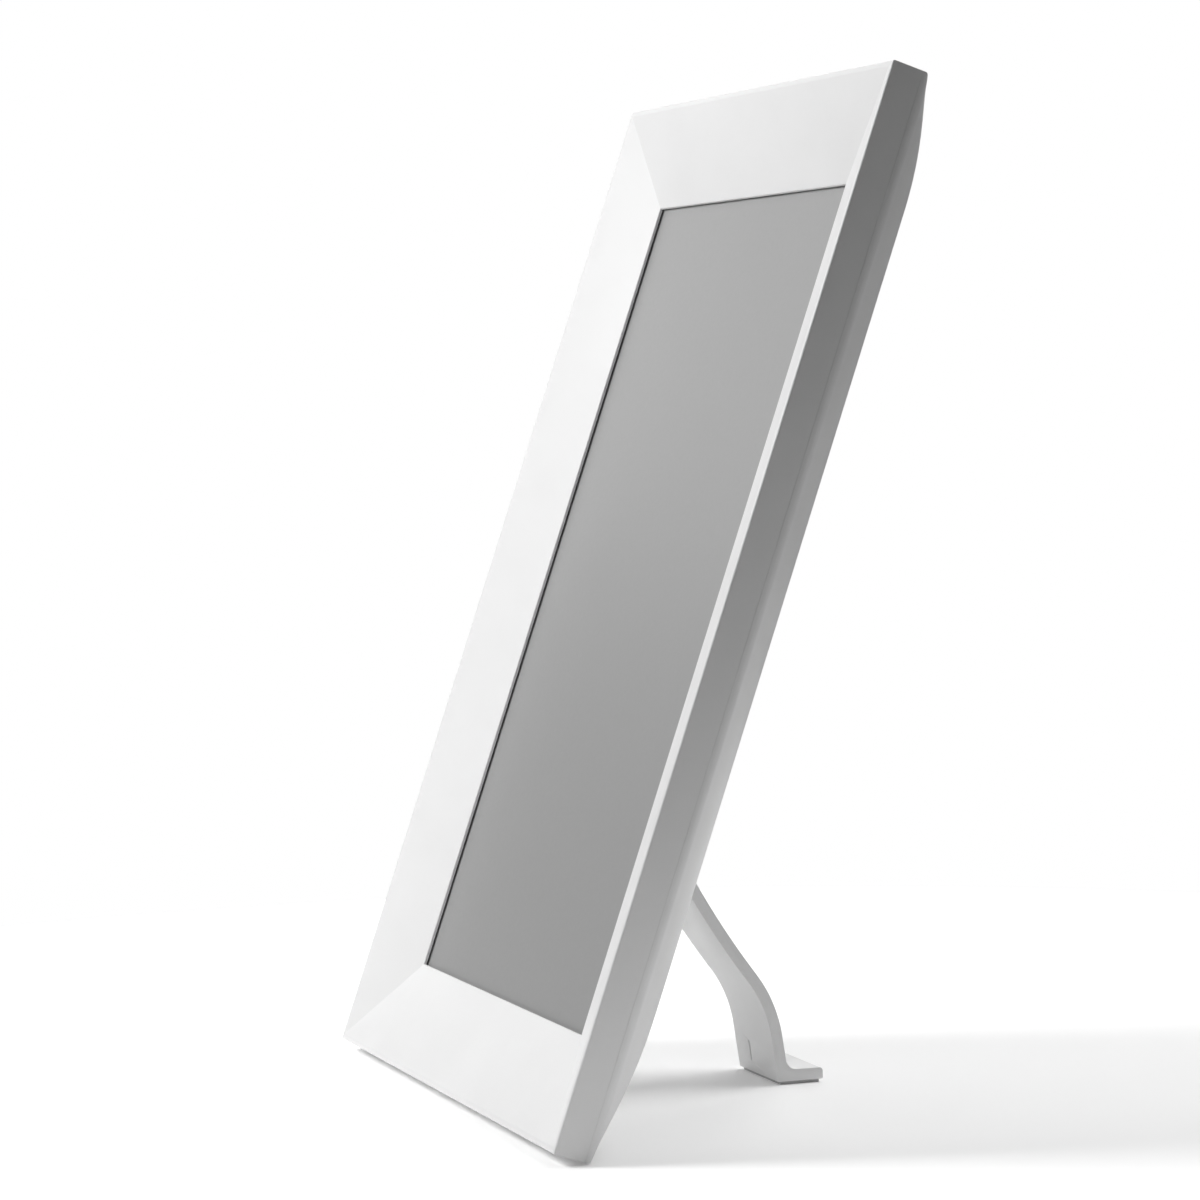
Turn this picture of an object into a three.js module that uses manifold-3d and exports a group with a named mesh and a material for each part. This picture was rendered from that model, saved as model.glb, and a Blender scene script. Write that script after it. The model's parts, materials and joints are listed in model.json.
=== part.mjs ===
// A digital photo frame standing upright on its back leg. Millimetres, +Z up, the screen faces -Y.
// The housing is drawn upright in its own frame (x across, y from the front rim towards the back, z up
// from the bottom edge) and then leans back as one group. The leg, its sole and the rubber strips under
// the bottom edge are drawn directly in the standing frame, because they are set by the table top.
// The finished group's origin is the middle of its footprint, on the table.

import * as THREE from "three";
import { mergeVertices } from "three/addons/utils/BufferGeometryUtils.js";
import Module from "manifold-3d";

const wasm = await Module();
wasm.setup();

// ---------- driving dimensions ----------

const LEAN = THREE.MathUtils.degToRad(19.86);
const WIDTH = 190.8;
const HEIGHT = 271;
const BORDER = 27.2; // rim to screen opening, the same on all four sides
const SCOOP_DEPTH = 7.7; // how far the screen opening lies behind the rim
const SIDE_DEPTH = 9.6; // flat side wall, front rim to parting line
const TOTAL_DEPTH = 22; // rim to the flat of the back
const WALL = 1.8;
const GAP = 0.3; // between neighbours that touch on the real thing
const RIM = 1; // flat rim around the scooped front
const RIM_ROUND = 0.35;

const COVER_RIM = 0.5; // upright edge of the cover beside the parting line
const SIDE_RUN = 26; // the back rises to its flat over this distance from the sides
const TOP_RUN = 43.6; // over this distance from the top
const BOTTOM_RUN = 55.4; // and over this distance from the bottom
const HIP_SHARPNESS = 6; // how closely the slopes meet in a line at the corners
const COVER_WALL = 2.2;

const PANEL_WIDTH = 142;
const PANEL_HEIGHT = 222.6;
const GASKET_DEPTH = 0.5;
const GLASS_DEPTH = 1.1;
const GUIDE_DEPTH = 1.8;
const TRAY_DEPTH = 0.6;
const BOARD_DEPTH = 1.2;

const LEG_WIDTH = 28.5;
const LEG_HALF = 1.5; // half the leg's thickness
const LEG_TOE = 78.6; // front of the leg at the table, behind the frame's bottom edge
const SHIN_ANGLE = THREE.MathUtils.degToRad(82);
const SHIN_LENGTH = 13;
const KNEE_RADIUS = 34;
const THIGH_ANGLE = THREE.MathUtils.degToRad(53.5);
const THIGH_RADIUS = 230;
const THIGH_LENGTH = 65.2;
const FOOT_LENGTH = 12.2;
const FOOT_TOP = 3.9;
const FOOT_FILLET = 3;
const TIP_ROUND = 0.9;
const SOLE_DEPTH = 0.9;
const SOLE_INSET = 0.8;
const FOLD = THREE.MathUtils.degToRad(47);

const PIN_RADIUS = 1.2;
const BARREL_RADIUS = 3.2;
const EAR_INNER = LEG_WIDTH / 2 + 0.95;
const EAR_DEPTH = 2;

// ---------- helpers ----------

// A closed three.js geometry as a solid that can be joined and cut.
function solid(geometry) {
  const bare = geometry.index ? geometry.toNonIndexed() : geometry.clone();
  bare.deleteAttribute("normal");
  bare.deleteAttribute("uv");
  const merged = mergeVertices(bare, 1e-4);
  const mesh = new wasm.Mesh({
    numProp: 3,
    vertProperties: merged.attributes.position.array,
    triVerts: new Uint32Array(merged.index.array),
  });
  return new wasm.Manifold(mesh);
}

function geometryOf(manifold) {
  const mesh = manifold.getMesh();
  const geometry = new THREE.BufferGeometry();
  geometry.setAttribute("position", new THREE.BufferAttribute(mesh.vertProperties, 3));
  geometry.setIndex(new THREE.BufferAttribute(mesh.triVerts, 1));
  const flat = geometry.toNonIndexed();
  flat.computeVertexNormals();
  return flat;
}

// A block between two corners.
function block(x0, x1, y0, y1, z0, z1) {
  const box = new THREE.BoxGeometry(x1 - x0, y1 - y0, z1 - z0);
  return solid(box.translate((x0 + x1) / 2, (y0 + y1) / 2, (z0 + z1) / 2));
}

// A disc or rod whose axis runs front to back.
function rod(x, z, radius, y0, y1, sides = 24) {
  const cylinder = new THREE.CylinderGeometry(radius, radius, y1 - y0, sides);
  return solid(cylinder.translate(x, (y0 + y1) / 2, z));
}

// A rod across the object, centred on x = 0.
function crossRod(y, z, radius, length, sides = 24) {
  const cylinder = new THREE.CylinderGeometry(radius, radius, length, sides);
  return solid(cylinder.rotateZ(Math.PI / 2).translate(0, y, z));
}

// A turned piece whose axis runs front to back, from [radius, y] points.
function turned(x, z, points, sides = 20) {
  const profile = points.map(([radius, y]) => new THREE.Vector2(radius, y));
  return solid(new THREE.LatheGeometry(profile, sides).translate(x, 0, z));
}

// An outline in the y-z plane, pulled out across x between two places.
function across(points, x0, x1) {
  const shape = new THREE.Shape(points.map(([y, z]) => new THREE.Vector2(y, z)));
  const pulled = new THREE.ExtrudeGeometry(shape, { depth: x1 - x0, bevelEnabled: false });
  // The outline's own x, y and pull become y, z and x.
  pulled.applyMatrix4(new THREE.Matrix4().makeBasis(
    new THREE.Vector3(0, 1, 0),
    new THREE.Vector3(0, 0, 1),
    new THREE.Vector3(1, 0, 0),
  ));
  return solid(pulled.translate(x0, 0, 0));
}

// A rectangular ring with mitred corners: a four-sided lathe whose corners are pulled apart.
// The profile's [inset, y] points start and end at the same place.
function mitredRing(points, width = WIDTH, height = HEIGHT, middle = HEIGHT / 2) {
  const reach = 60;
  const profile = points
    .map(([inset, y]) => new THREE.Vector2((reach - inset) * Math.SQRT2, y))
    .reverse();
  const ring = new THREE.LatheGeometry(profile, 4, Math.PI / 4);
  const place = ring.attributes.position;
  for (let i = 0; i < place.count; i += 1) {
    const x = place.getX(i);
    const z = place.getZ(i);
    place.setX(i, x + Math.sign(x) * (width / 2 - reach));
    place.setZ(i, z + Math.sign(z) * (height / 2 - reach));
  }
  return solid(ring.translate(0, 0, middle));
}

// Grid lines from -half to half, close together over the run at each end and open between.
function gridLines(half, lowRun, highRun, steps) {
  const inwards = (run) => Array.from({ length: steps + 1 }, (_, i) => half - (run * i) / steps);
  return [...inwards(lowRun).map((value) => -value), ...inwards(highRun).reverse()];
}

// What is left to rise at a distance in from an edge: 1 at the edge, 0 on the flat.
function leftToRise(distance, run) {
  return (1 - Math.min(distance / run, 1)) ** 2;
}

// How far the back has risen between a side and an end: about the lower of the two slopes.
function rise(side, end) {
  const power = HIP_SHARPNESS;
  return 1 - (side ** power + end ** power - (side * end) ** power) ** (1 / power);
}

// The crowned back as a solid, from a flat front at y = base to a crown at y = top.
function crown(inset, base, edge, top) {
  const halfWidth = WIDTH / 2 - inset;
  const halfHeight = HEIGHT / 2 - inset;
  const columns = gridLines(halfWidth, SIDE_RUN - inset, SIDE_RUN - inset, 10);
  const rows = gridLines(halfHeight, BOTTOM_RUN - inset, TOP_RUN - inset, 13);
  const box = new THREE.BoxGeometry(1, 1, 1, columns.length - 1, 1, rows.length - 1);
  const place = box.attributes.position;
  for (let i = 0; i < place.count; i += 1) {
    const x = columns[Math.round((place.getX(i) + 0.5) * (columns.length - 1))];
    const z = rows[Math.round((place.getZ(i) + 0.5) * (rows.length - 1))];
    const side = leftToRise(halfWidth - Math.abs(x), SIDE_RUN - inset);
    const end = Math.max(
      leftToRise(halfHeight + z, BOTTOM_RUN - inset),
      leftToRise(halfHeight - z, TOP_RUN - inset),
    );
    const back = edge + (top - edge) * rise(side, end);
    place.setXYZ(i, x, place.getY(i) < 0 ? base : back, z + HEIGHT / 2);
  }
  return solid(box);
}

function finish(colour, roughness, metalness = 0) {
  return new THREE.MeshStandardMaterial({ color: colour, roughness, metalness });
}

const housing = new THREE.Group();
housing.rotation.x = -LEAN;
// The bottom back edge of the side wall is the edge that the frame stands on.
housing.position.set(0, -SIDE_DEPTH * Math.cos(LEAN), SIDE_DEPTH * Math.sin(LEAN));
const standing = new THREE.Group();

function add(parent, name, shape, material) {
  const mesh = new THREE.Mesh(geometryOf(shape), material);
  mesh.name = name;
  parent.add(mesh);
}

// From the standing frame's [y, z] to the housing's own.
function toHousing([y, z]) {
  return [
    y * Math.cos(LEAN) - z * Math.sin(LEAN) + SIDE_DEPTH,
    y * Math.sin(LEAN) + z * Math.cos(LEAN),
  ];
}

// ---------- the leg's line, in the standing frame ----------

// Points along the middle of the leg from the table up to the hinge, each with its slope.
function legLine() {
  const start = [LEG_TOE + LEG_HALF / Math.sin(SHIN_ANGLE), 0];
  const line = [{ y: start[0], z: start[1], angle: SHIN_ANGLE }];
  const go = (length, steps, angleAt) => {
    for (let i = 0; i < steps; i += 1) {
      const last = line[line.length - 1];
      const middle = angleAt((length * (i + 0.5)) / steps);
      line.push({
        y: last.y - (Math.cos(middle) * length) / steps,
        z: last.z + (Math.sin(middle) * length) / steps,
        angle: angleAt((length * (i + 1)) / steps),
      });
    }
  };
  const kneeLength = KNEE_RADIUS * (SHIN_ANGLE - THIGH_ANGLE);
  go(SHIN_LENGTH, 1, () => SHIN_ANGLE);
  go(kneeLength, 8, (s) => SHIN_ANGLE - s / KNEE_RADIUS);
  go(THIGH_LENGTH, 8, (s) => THIGH_ANGLE + s / THIGH_RADIUS);
  return line;
}

const leg = legLine();
const hip = leg[leg.length - 1];
const [hipY, hipZ] = toHousing([hip.y, hip.z]);

// One side of the leg: towards the frame below 0, away from it above.
function legSide(offset) {
  return leg.map(({ y, z, angle }) => [y + Math.sin(angle) * offset, z + Math.cos(angle) * offset]);
}

// A place in the standing frame after the leg has folded to the back.
function folded([y, z]) {
  const dy = y - hip.y;
  const dz = z - hip.z;
  return [
    hip.y + dy * Math.cos(FOLD) + dz * Math.sin(FOLD),
    hip.z - dy * Math.sin(FOLD) + dz * Math.cos(FOLD),
  ];
}

// ---------- depths of the layers, front to back, in the housing's frame ----------

const LIP = 0.8;
const glassFront = SCOOP_DEPTH + LIP + GASKET_DEPTH;
const guideFront = glassFront + GLASS_DEPTH + GAP;
const trayFront = guideFront + GUIDE_DEPTH + GAP;
const trayBack = trayFront + TRAY_DEPTH;
const boardFront = trayBack + 1.2;
const boardBack = boardFront + BOARD_DEPTH;
const coverFront = SIDE_DEPTH + GAP / 2;
const innerFlat = TOTAL_DEPTH - COVER_WALL;

const COVER_SCREWS = [[-55, 14], [55, 14], [-55, HEIGHT - 14], [55, HEIGHT - 14]];
const BOSS_TOP = 10.6;

const BOARD = { x0: -76, x1: -14, z0: 115, z1: 226 };
const INLET = { edge: -71, length: 11, z: 143, half: 4.5, front: 13.5, back: 19.2 };
const BOARD_SCREWS = [
  [BOARD.x0 + 8, BOARD.z0 + 4],
  [BOARD.x1 - 4, BOARD.z0 + 4],
  [BOARD.x0 + 8, BOARD.z1 - 4],
  [BOARD.x1 - 4, BOARD.z1 - 4],
];

// ---------- front ----------

function frontBezel() {
  const skirtEnd = SIDE_DEPTH - GAP / 2;
  const ring = mitredRing([
    [0, skirtEnd],
    [0, RIM_ROUND],
    [RIM_ROUND, 0],
    [RIM, 0],
    [BORDER, SCOOP_DEPTH],
    [BORDER, SCOOP_DEPTH + LIP],
    [BORDER - 2.4, SCOOP_DEPTH + LIP],
    [WALL, 2.4],
    [WALL, skirtEnd],
    [0, skirtEnd],
  ]);
  const bosses = COVER_SCREWS.map(([x, z]) => rod(x, z, 3.5, 5.2, BOSS_TOP));
  const pilots = COVER_SCREWS.map(([x, z]) => rod(x, z, 1.6, 5.9, BOSS_TOP + 1, 16));
  const joined = bosses.reduce((whole, boss) => whole.add(boss), ring);
  return pilots.reduce((whole, pilot) => whole.subtract(pilot), joined);
}

// What stands below the table top, or just above it, in the housing's frame.
function tableCut(height) {
  const slab = new THREE.BoxGeometry(400, 400, 100).translate(0, 0, height - 50);
  slab.translate(0, SIDE_DEPTH * Math.cos(LEAN), -SIDE_DEPTH * Math.sin(LEAN));
  return solid(slab.rotateX(LEAN));
}

// A rubber strip let into the bottom edge, drawn in the standing frame; grow widens it for its pocket.
function edgeStrip(side, grow) {
  const middle = side * 62;
  const strip = block(middle - 12 - grow, middle + 12 + grow, -3 - grow, -0.4 + grow, -grow, 3);
  const slab = new THREE.BoxGeometry(100, 40, 10).translate(0, 0, 0.7 + grow - 5);
  return strip.intersect(solid(slab.rotateX(-LEAN).translate(middle, 0, 0)));
}

function pocketOf(shape) {
  const pocket = geometryOf(shape);
  pocket.translate(0, SIDE_DEPTH * Math.cos(LEAN), -SIDE_DEPTH * Math.sin(LEAN));
  return solid(pocket.rotateX(LEAN));
}

const LAND = 0.4; // the housing's bottom edge is cut flat this far above the table

const bezel = [-1, 1].reduce(
  (whole, side) => whole.subtract(pocketOf(edgeStrip(side, GAP))),
  frontBezel().subtract(tableCut(LAND)),
);

const white = finish(0xf2f2f2, 0.45);
add(housing, "front_bezel", bezel, white);

// ---------- screen module ----------

function panel(depth, back, trim = 0) {
  return block(
    -PANEL_WIDTH / 2 + trim, PANEL_WIDTH / 2 - trim,
    depth, back,
    (HEIGHT - PANEL_HEIGHT) / 2 + trim, (HEIGHT + PANEL_HEIGHT) / 2 - trim,
  );
}

function gasket() {
  const front = SCOOP_DEPTH + LIP + GAP / 2;
  const back = glassFront - GAP / 2;
  return mitredRing(
    [[0.6, front], [2.2, front], [2.2, back], [0.6, back], [0.6, front]],
    PANEL_WIDTH,
    PANEL_HEIGHT,
  );
}

function backTray() {
  const post = 1.8;
  const plate = panel(trayFront, trayBack, 0.4);
  const posts = BOARD_SCREWS.map(([x, z]) => rod(x, z, 2.4, trayFront, boardFront - GAP, 12));
  const pilots = BOARD_SCREWS.map(([x, z]) => rod(x, z, 1.3, boardFront - post, boardFront, 8));
  const joined = posts.reduce((whole, one) => whole.add(one), plate);
  return pilots.reduce((whole, pilot) => whole.subtract(pilot), joined);
}

function lightBar() {
  const bar = block(-66, 66, guideFront, guideFront + GUIDE_DEPTH, 24.6, 27);
  const lamps = Array.from({ length: 12 }, (_, i) => {
    const x = -60.5 + 11 * i;
    return block(x - 1.5, x + 1.5, guideFront + 0.4, guideFront + 1.4, 26.5, 27.8);
  });
  return lamps.reduce((whole, lamp) => whole.add(lamp), bar);
}

const dark = finish(0x202224, 0.8);
const steel = finish(0xa9adb0, 0.35, 0.9);
const green = finish(0x1f5c3a, 0.5);

add(housing, "screen_gasket", gasket(), dark);
add(housing, "screen_panel", panel(glassFront, glassFront + GLASS_DEPTH), finish(0xa0a0a0, 0.35));
add(
  housing,
  "light_guide",
  block(-70, 70, guideFront, guideFront + GUIDE_DEPTH, 28.4, 246),
  finish(0xdfe6e8, 0.15),
);
add(housing, "backlight_bar", lightBar(), finish(0xe8e4c8, 0.5));
add(housing, "panel_back_tray", backTray(), steel);

// A folded strip that holds the panel's end against the bezel.
function panelClamp(end) {
  const near = end < 0 ? (HEIGHT - PANEL_HEIGHT) / 2 : (HEIGHT + PANEL_HEIGHT) / 2;
  const at = (distance) => near + end * distance;
  const low = Math.min(at(5.6), at(-5));
  const high = Math.max(at(5.6), at(-5));
  const strip = block(-40, 40, trayBack + GAP, trayBack + GAP + 1, low, high);
  const legLow = Math.min(at(4.6), at(5.6));
  return strip.add(block(-40, 40, 9.4, trayBack + GAP + 0.5, legLow, legLow + 1));
}

add(housing, "panel_clamp_bottom", panelClamp(-1), steel);
add(housing, "panel_clamp_top", panelClamp(1), steel);

// ---------- main board and what is on it ----------

const CARD_MIDDLE = 196;
const CARD_WIDTH = 24.6;
const CARD_DEPTH = 2.5;
const USB_MIDDLE = 168;
const SOCKET_EDGE = -71;
const socketFront = boardBack + GAP;

function mainBoard() {
  const plate = block(BOARD.x0, BOARD.x1, boardFront, boardBack, BOARD.z0, BOARD.z1);
  const notch = block(
    BOARD.x0 - 1, INLET.edge + INLET.length + GAP,
    boardFront - 1, boardBack + 1,
    INLET.z - INLET.half - GAP, INLET.z + INLET.half + GAP,
  );
  const holes = BOARD_SCREWS.map(([x, z]) => rod(x, z, 1.5, boardFront - 1, boardBack + 1, 12));
  return holes.reduce((whole, hole) => whole.subtract(hole), plate.subtract(notch));
}

// A sheet-metal socket lying on the board, open towards the housing's side.
function sideSocket(edge, length, middle, width, depth, mouthWidth, mouthDepth) {
  const body = block(
    edge, edge + length,
    socketFront, socketFront + depth,
    middle - width / 2, middle + width / 2,
  );
  const centre = socketFront + depth / 2;
  const mouth = block(
    edge - 1, edge + length - 1.5,
    centre - mouthDepth / 2, centre + mouthDepth / 2,
    middle - mouthWidth / 2, middle + mouthWidth / 2,
  );
  return body.subtract(mouth);
}

// The inlet sits in a notch of the board, open towards the housing's side.
const inletMiddle = (INLET.front + INLET.back) / 2;

function powerInlet() {
  const { edge, length, z, half, front, back } = INLET;
  const body = block(edge, edge + length, front, back, z - half, z + half);
  const bore = crossRod(inletMiddle, z, 2.3, 2 * (length - 2), 20).translate([edge, 0, 0]);
  const centrePin = crossRod(inletMiddle, z, 0.6, length - 1, 10);
  return body.subtract(bore).add(centrePin.translate([edge + length / 2, 0, 0]));
}

add(housing, "main_board", mainBoard(), green);
add(
  housing,
  "card_socket",
  sideSocket(SOCKET_EDGE, 28, CARD_MIDDLE, 27.6, 3.3, CARD_WIDTH, CARD_DEPTH),
  steel,
);
add(housing, "usb_socket", sideSocket(SOCKET_EDGE, 9, USB_MIDDLE, 7.8, 3.4, 6.9, 2.6), steel);
add(housing, "power_inlet", powerInlet(), dark);
add(housing, "processor_shield", block(-44, -20, socketFront, socketFront + 2.2, 132, 158), steel);
add(housing, "clock_battery", rod(-32, 182, 8, socketFront, socketFront + 3.2, 28), steel);

// ---------- buttons ----------

const BUTTON_X = 50;
const BUTTON_PITCH = 13;
const BUTTONS = ["menu", "up", "down", "enter", "exit"];
const BUTTON_PROUD = 0.8;
const KEY_TRAVEL = 0.6;
const keyZ = (index) => 176 + BUTTON_PITCH * (2 - index);
const flangeBack = innerFlat - GAP;
const stemFront = flangeBack - 2.2;

// A rounded key: a stadium seen from behind, y0 to y1 deep.
function stadium(x, z, halfLength, radius, y0, y1, sides = 16) {
  const bar = block(x - halfLength, x + halfLength, y0, y1, z - radius * 0.9999, z + radius * 0.9999);
  const ends = [-1, 1].map((side) => rod(x + side * halfLength, z, radius, y0, y1, sides));
  return bar.add(ends[0]).add(ends[1]);
}

function key(index) {
  const z = keyZ(index);
  const cap = stadium(BUTTON_X, z, 3.2, 3.1, flangeBack - 1, TOTAL_DEPTH + BUTTON_PROUD);
  const flange = stadium(BUTTON_X, z, 3.2, 4.4, flangeBack - 1, flangeBack);
  return cap.add(flange).add(rod(BUTTON_X, z, 1.5, stemFront, flangeBack, 12));
}

BUTTONS.forEach((name, index) => add(housing, `${name}_button`, key(index), finish(0xe4e4e4, 0.5)));

const switchBack = stemFront - KEY_TRAVEL - GAP;
const keyBoardBack = switchBack - 1.4;

function buttonBoard() {
  const low = keyZ(BUTTONS.length - 1) - 22;
  const plate = block(38, 62, keyBoardBack - 1, keyBoardBack, low, keyZ(0) + 8);
  return BUTTONS.reduce((whole, _, index) => {
    const z = keyZ(index);
    const body = block(BUTTON_X - 3, BUTTON_X + 3, keyBoardBack - 0.5, keyBoardBack + 1, z - 3, z + 3);
    return whole.add(body).add(rod(BUTTON_X, z, 1.4, keyBoardBack, switchBack, 12));
  }, plate);
}

add(housing, "button_board", buttonBoard(), green);

// The on/off slider, a thumb piece in a slot above and below which the back is closed.
const SLIDER = { z: 134, travel: 3, halfWidth: 2.6, halfLength: 4 };

function slider() {
  const { z, halfWidth, halfLength } = SLIDER;
  const thumb = block(
    BUTTON_X - halfWidth, BUTTON_X + halfWidth,
    flangeBack - 1, TOTAL_DEPTH + 0.6,
    z - halfLength, z + halfLength,
  );
  const grooves = [-2, 0, 2].map((step) => block(
    BUTTON_X - 3, BUTTON_X + 3,
    TOTAL_DEPTH + 0.1, TOTAL_DEPTH + 1,
    z + step - 0.4, z + step + 0.4,
  ));
  const plate = block(BUTTON_X - 5, BUTTON_X + 5, flangeBack - 1, flangeBack, z - 8, z + 8);
  return grooves.reduce((whole, groove) => whole.subtract(groove), thumb.add(plate));
}

add(housing, "power_slider", slider(), finish(0xd8d8d8, 0.5));

// ---------- ribbons and speakers ----------

// A flat ribbon in the y-z plane along a chain of [y, z] points.
function ribbon(points, x0, x1, thickness = 0.3) {
  const back = points.map(([y, z]) => [y + thickness, z + thickness]).reverse();
  return across([...points, ...back], x0, x1);
}

// From the foot of the screen panel, round the tray's end, to the main board's lower edge.
const panelRibbon = ribbon([
  [trayBack + 0.4, 42],
  [trayBack + 0.4, 107],
  [boardFront + 0.3, 112],
  [boardFront + 0.3, BOARD.z0 - 0.7],
], -46, -22);
const buttonRibbon = block(-13.6, 37.6, keyBoardBack - 0.8, keyBoardBack - 0.5, 150, 158);

add(housing, "panel_ribbon", panelRibbon, finish(0xb8743a, 0.45));
add(housing, "button_ribbon", buttonRibbon, finish(0xd9d9d2, 0.6));

const SPEAKER_X = 46;
const SPEAKER_Z = 78;
const speakerBack = innerFlat - GAP;

function speaker(side) {
  return turned(side * SPEAKER_X, SPEAKER_Z, [
    [0, speakerBack - 5],
    [7, speakerBack - 5],
    [7, speakerBack - 2.6],
    [13, speakerBack - 1.6],
    [13, speakerBack],
    [11.5, speakerBack],
    [4, speakerBack - 1.2],
    [0, speakerBack - 0.7],
  ], 28);
}

add(housing, "speaker_left", speaker(-1), dark);
add(housing, "speaker_right", speaker(1), dark);

// ---------- back cover ----------

// The trough that the folded leg lies in: its floor follows the leg, clearance below it.
function legTrough(clearance, halfWidth) {
  const floor = legSide(-LEG_HALF - clearance).map((point) => toHousing(folded(point)));
  const open = TOTAL_DEPTH + 20;
  const outline = [[open, floor[0][1]], ...floor, [open, floor[floor.length - 1][1]]];
  return across(outline, -halfWidth, halfWidth);
}

const TROUGH_HALF = LEG_WIDTH / 2 + 0.75;
const TROUGH_CLEARANCE = 0.6;
const POCKET = {
  half: EAR_INNER + EAR_DEPTH + 0.6,
  floor: hipY - 4.2,
  low: hipZ - 6,
  high: hipZ + 17,
};

function hingePocket(extra) {
  return block(
    -POCKET.half - extra, POCKET.half + extra,
    POCKET.floor - extra, TOTAL_DEPTH + 20,
    POCKET.low - extra, POCKET.high + extra,
  );
}

// A round well down to a floor, for a screw's head.
const HEAD_SEAT = 12.4;

function screwWells(shell, crownSolid) {
  return COVER_SCREWS.reduce((whole, [x, z]) => {
    const post = rod(x, z, 5, BOSS_TOP + GAP, TOTAL_DEPTH).intersect(crownSolid);
    const well = rod(x, z, 3.4, HEAD_SEAT, TOTAL_DEPTH + 5);
    return whole.add(post).subtract(well).subtract(rod(x, z, 1.8, 5, TOTAL_DEPTH, 16));
  }, shell);
}

function slots(count, pitch, x, z, halfLength, halfWidth) {
  return Array.from({ length: count }, (_, i) => {
    const at = z + pitch * (i - (count - 1) / 2);
    return block(
      x - halfLength, x + halfLength,
      innerFlat - 1, TOTAL_DEPTH + 1,
      at - halfWidth, at + halfWidth,
    );
  });
}

// A wall-hanging hole: a round entry with a narrow slot above it.
function keyhole(x, z) {
  const entry = rod(x, z, 4.2, innerFlat - 1, TOTAL_DEPTH + 1, 24);
  const neck = block(x - 2.1, x + 2.1, innerFlat - 1, TOTAL_DEPTH + 1, z, z + 9);
  return entry.add(neck).add(rod(x, z + 9, 2.1, innerFlat - 1, TOTAL_DEPTH + 1, 16));
}

const HANG_X = 44;
const HANG_Z = 214;

function backCover() {
  const outside = crown(0, coverFront, coverFront + COVER_RIM, TOTAL_DEPTH);
  const inside = crown(3, coverFront - 1, coverFront, innerFlat);
  const floorWall = 1.5;
  const tray = legTrough(TROUGH_CLEARANCE + floorWall, TROUGH_HALF + floorWall)
    .add(hingePocket(floorWall))
    .intersect(outside);
  let shell = screwWells(outside.subtract(inside), outside)
    .add(tray)
    .subtract(legTrough(TROUGH_CLEARANCE, TROUGH_HALF))
    .subtract(hingePocket(0))
    .subtract(tableCut(LAND));
  const cuts = [
    ...BUTTONS.map((_, index) => stadium(BUTTON_X, keyZ(index), 3.2, 3.4, innerFlat - 1, TOTAL_DEPTH + 2)),
    block(
      BUTTON_X - SLIDER.halfWidth - GAP, BUTTON_X + SLIDER.halfWidth + GAP,
      innerFlat - 1, TOTAL_DEPTH + 1,
      SLIDER.z - SLIDER.halfLength - GAP, SLIDER.z + SLIDER.halfLength + SLIDER.travel + GAP,
    ),
    ...[-1, 1].flatMap((side) => slots(5, 4.4, side * SPEAKER_X, SPEAKER_Z, 9, 0.8)),
    ...slots(4, 4.4, 0, 232, 30, 0.8),
    ...BRACKET_SCREWS.map(([x, z]) => rod(x, z, 1.3, POCKET.floor - 4, POCKET.floor + 1, 12)),
    keyhole(-HANG_X, HANG_Z),
    keyhole(HANG_X, HANG_Z),
    block(
      -WIDTH / 2, SOCKET_EDGE + 2,
      socketFront + 0.3, socketFront + 3,
      CARD_MIDDLE - 13, CARD_MIDDLE + 13,
    ),
    block(
      -WIDTH / 2, SOCKET_EDGE + 2,
      socketFront + 0.1, socketFront + 3.3,
      USB_MIDDLE - 4.2, USB_MIDDLE + 4.2,
    ),
    crossRod(inletMiddle, INLET.z, 2.75, 30, 20).translate([INLET.edge - 14, 0, 0]),
  ];
  for (const cut of cuts) {
    shell = shell.subtract(cut);
  }
  return shell;
}

// ---------- hinge ----------

const BRACKET_SCREWS = [[-9, hipZ + 12], [9, hipZ + 12]];
const PLATE = { y0: POCKET.floor + GAP, y1: POCKET.floor + GAP + 1.2, z0: hipZ + 6.4, z1: hipZ + 16 };

function hingeBracket() {
  const outer = EAR_INNER + EAR_DEPTH;
  const plate = block(-outer, outer, PLATE.y0, PLATE.y1, PLATE.z0, PLATE.z1);
  const ears = [-1, 1].map((side) => {
    const [x0, x1] = side < 0 ? [-outer, -EAR_INNER] : [EAR_INNER, outer];
    return block(x0, x1, PLATE.y0, hipY + 2.6, hipZ - 3.4, PLATE.z1);
  });
  const holes = [
    crossRod(hipY, hipZ, PIN_RADIUS + GAP, outer * 3),
    ...BRACKET_SCREWS.map(([x, z]) => rod(x, z, 1.6, PLATE.y0 - 1, PLATE.y1 + 1, 16)),
  ];
  const joined = plate.add(ears[0]).add(ears[1]);
  return holes.reduce((whole, hole) => whole.subtract(hole), joined);
}

function hingeWasher(side) {
  const ring = new THREE.LatheGeometry(
    [[1.55, 0.15], [2.9, 0.15], [2.9, 0.65], [1.55, 0.65], [1.55, 0.15]]
      .map(([radius, x]) => new THREE.Vector2(radius, x)),
    24,
  );
  ring.rotateZ(-side * (Math.PI / 2));
  return solid(ring.translate(side * (LEG_WIDTH / 2), hipY, hipZ));
}

add(housing, "hinge_bracket", hingeBracket(), steel);
add(housing, "hinge_pin", crossRod(hipY, hipZ, PIN_RADIUS, 2 * (EAR_INNER + EAR_DEPTH) - 0.4), steel);
add(housing, "hinge_washer_left", hingeWasher(-1), steel);
add(housing, "hinge_washer_right", hingeWasher(1), steel);
add(housing, "back_cover", backCover(), white);

// ---------- screws ----------

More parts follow.
